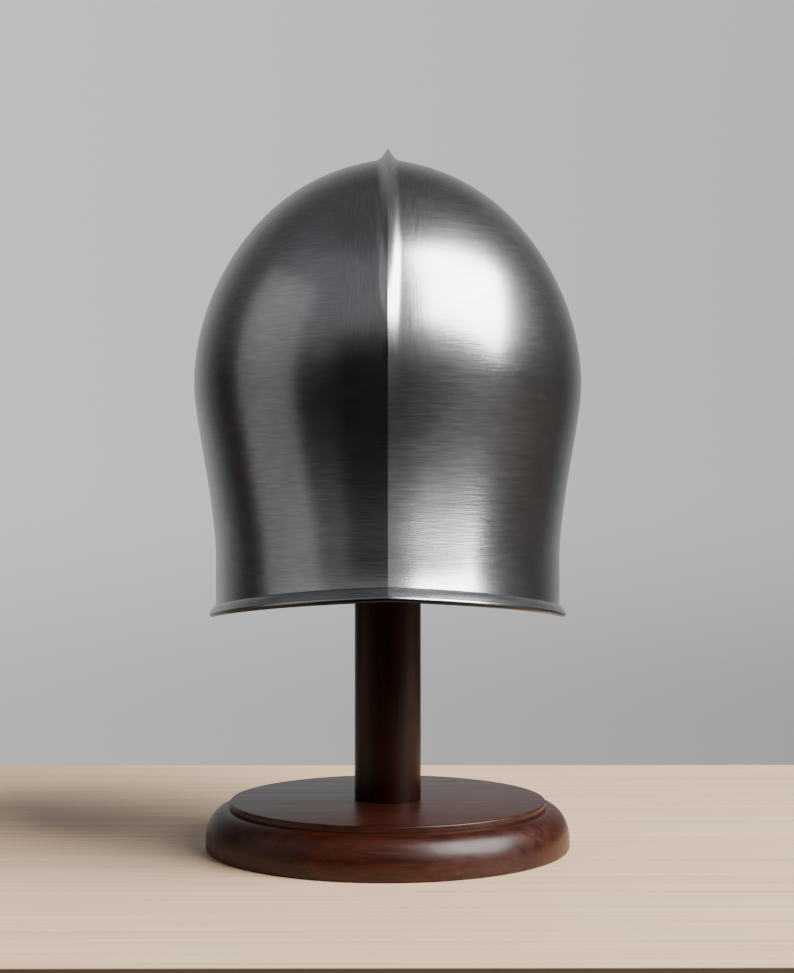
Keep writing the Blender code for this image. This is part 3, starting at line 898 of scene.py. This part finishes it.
class BARBUTA_OT_stage(bpy.types.Operator):
    """Sets the table, the soft light and the camera."""

    bl_idname = "barbuta.stage"
    bl_label = "Table, light and camera"

    def execute(self, context):
        stage = context.scene.barbuta_stage
        self.table(stage)
        self.surroundings(context, stage)
        self.dark_card(stage)
        self.soft_light("key_light", KEY_LIGHT, stage.key_power)
        self.soft_light("fill_light", FILL_LIGHT, stage.fill_power)
        self.camera(context, stage)
        return {"FINISHED"}

    def table(self, stage):
        """A wide plain table top whose far edge lies behind the stand."""
        top = bmesh.new()
        bmesh.ops.create_cube(top, size=1)
        depth = stage.table_back + stage.table_front
        size = (stage.table_width, depth, stage.table_thickness)
        bmesh.ops.scale(top, vec=size, verts=top.verts)
        middle = (0, depth / 2 - stage.table_back, -stage.table_thickness / 2)
        bmesh.ops.translate(top, vec=middle, verts=top.verts)
        mesh = bpy.data.meshes.new("table")
        top.to_mesh(mesh)
        top.free()
        add_object("table", mesh, planed_beech(stage))

    def dark_card(self, stage):
        """A black card beside the camera, out of its sight, that keeps the nape's left half dark."""
        card = bmesh.new()
        near, far = CARD_SIDES
        corners = [(near, 0), (far, 0), (far, CARD_TOP), (near, CARD_TOP)]
        card.faces.new([card.verts.new((x, CARD_PLACE, z)) for x, z in corners])
        mesh = bpy.data.meshes.new("dark_card")
        card.to_mesh(mesh)
        card.free()
        made = add_object("dark_card", mesh, black_felt(stage))
        made.visible_camera = False

    def surroundings(self, context, stage):
        """A plain grey backdrop for the camera to see, and a room for the helmet to mirror."""
        world = bpy.data.worlds.new("studio")
        world.use_nodes = True
        context.scene.world = world
        tree = world.node_tree
        tree.nodes.clear()
        direction = add_node(tree, "ShaderNodeTexCoord").outputs["Generated"]
        parts = add_node(tree, "ShaderNodeSeparateXYZ", (direction,)).outputs
        room = add_node(tree, "ShaderNodeBackground", (self.room(tree, parts, stage),))
        wall = add_node(tree, "ShaderNodeBackground", (self.wall(tree, parts, stage),))
        seen = add_node(tree, "ShaderNodeLightPath").outputs["Is Camera Ray"]
        both = add_node(tree, "ShaderNodeMixShader", (seen, room, wall))
        add_node(tree, "ShaderNodeOutputWorld", (both,))

    def room(self, tree, parts, stage):
        """The room's colour: a pale wall behind the helmet and gloom beside, above and before it."""
        slanted = (parts["X"], ROOM_SLANT, parts["Y"])
        turned_back = add_node(tree, "ShaderNodeMath", slanted, operation="MULTIPLY_ADD")
        facing = add_node(tree, "ShaderNodeMapRange", (turned_back, *ROOM_BEHIND))
        behind = add_node(tree, "ShaderNodeMath", (facing, ROOM_BEHIND_POWER), operation="POWER")
        right = add_node(tree, "ShaderNodeMapRange", (parts["X"], *ROOM_RIGHT), **SMOOTH)
        right_near = add_node(tree, "ShaderNodeMapRange", (parts["Y"], *ROOM_RIGHT_NEAR), **SMOOTH)
        beside = add_node(tree, "ShaderNodeMath", (right, right_near), operation="MULTIPLY")
        near = add_node(tree, "ShaderNodeMapRange", (parts["Y"], *ROOM_NEAR), **SMOOTH)
        high = add_node(tree, "ShaderNodeMapRange", (parts["Z"], *ROOM_HIGH), **SMOOTH)
        overhead = add_node(tree, "ShaderNodeMapRange", (parts["Z"], *ROOM_OVERHEAD), **SMOOTH)
        shades = (beside, stage.room_level, stage.room_level_right)
        level_gloom = add_node(tree, "ShaderNodeMix", shades, data_type="RGBA")
        shades = (near, stage.room_high, stage.room_high_near)
        high_gloom = add_node(tree, "ShaderNodeMix", shades, data_type="RGBA")
        gloom = add_node(tree, "ShaderNodeMix", (high, level_gloom, high_gloom), data_type="RGBA")
        shades = (overhead, gloom, stage.room_overhead)
        gloom = add_node(tree, "ShaderNodeMix", shades, data_type="RGBA")
        return add_node(tree, "ShaderNodeMix", (behind, gloom, stage.room_behind), data_type="RGBA")

    def wall(self, tree, parts, stage):
        """The backdrop's colour, which falls off to the right and low down."""
        rightward = add_node(tree, "ShaderNodeMapRange", (parts["X"], *WALL_RIGHT))
        low = add_node(tree, "ShaderNodeMapRange", (parts["Z"], *WALL_LOW), **SMOOTH)
        fading = add_node(tree, "ShaderNodeMath", (rightward, low), operation="ADD")
        shades = (fading, stage.wall_light, stage.wall_dark)
        return add_node(tree, "ShaderNodeMix", shades, data_type="RGBA")

    def soft_light(self, name, panel, power):
        """A soft panel aimed at the helmet's widest part."""
        light = bpy.data.lights.new(name, "AREA")
        light.shape = "RECTANGLE"
        light.size, light.size_y = panel.width, panel.height
        light.energy = power
        turn, tilt = radians(panel.azimuth), radians(panel.elevation)
        direction = Vector((-sin(turn) * cos(tilt), cos(turn) * cos(tilt), sin(tilt)))
        roll = Matrix.Rotation(radians(panel.roll), 3, "Z").to_quaternion()
        made = add_object(name, light)
        made.location = Vector((0, 0, WIDEST.height)) + panel.distance * direction
        made.rotation_euler = (direction.to_track_quat("Z", "Y") @ roll).to_euler()
        made.visible_camera = False

    def camera(self, context, stage):
        """A camera a little under a metre behind the neck, at the height of its nape."""
        data = bpy.data.cameras.new("camera")
        data.lens = stage.lens
        made = add_object("camera", data)
        made.location = CAMERA_PLACE
        made.rotation_euler = (radians(90 + CAMERA_RISE), 0, radians(180 - CAMERA_TURN))
        context.scene.camera = made


class BARBUTA_PT_panel(bpy.types.Panel):
    """Lists the helmet's pieces and their settings."""

    bl_label = "Barbuta on a stand"
    bl_idname = "BARBUTA_PT_panel"
    bl_space_type = "VIEW_3D"
    bl_region_type = "UI"
    bl_category = "Barbuta"

    def draw(self, context):
        for group in [getattr(context.scene, name) for name in GROUPS]:
            box = self.layout.box()
            box.label(text=type(group).__name__)
            for name in group.bl_rna.properties.keys():
                if name not in ("rna_type", "name"):
                    box.prop(group, name)
        for operator in OPERATORS:
            self.layout.operator(operator.bl_idname)


GROUPS = {
    "barbuta_sizes": BarbutaSizes,
    "barbuta_stand": StandSizes,
    "barbuta_finish": BarbutaFinish,
    "barbuta_stage": StageSettings,
}
OPERATORS = (
    BARBUTA_OT_finishes,
    BARBUTA_OT_plate,
    BARBUTA_OT_border,
    BARBUTA_OT_stand,
    BARBUTA_OT_stage,
)


def register():
    """Makes the settings, the operators and the panel known to Blender."""
    for name, group in GROUPS.items():
        bpy.utils.register_class(group)
        setattr(bpy.types.Scene, name, bpy.props.PointerProperty(type=group))
    for item in (*OPERATORS, BARBUTA_PT_panel):
        bpy.utils.register_class(item)


def unregister():
    """Takes back what register made known."""
    for item in reversed((*OPERATORS, BARBUTA_PT_panel)):
        bpy.utils.unregister_class(item)
    for name, group in reversed(GROUPS.items()):
        delattr(bpy.types.Scene, name)
        bpy.utils.unregister_class(group)


def main():
    """Makes the helmet, the stand and the studio."""
    register()
    bpy.ops.barbuta.finishes()
    bpy.ops.barbuta.plate()
    bpy.ops.barbuta.border()
    bpy.ops.barbuta.stand()
    bpy.ops.barbuta.stage()
    bpy.context.view_layer.update()


if __name__ == "__main__":
    main()
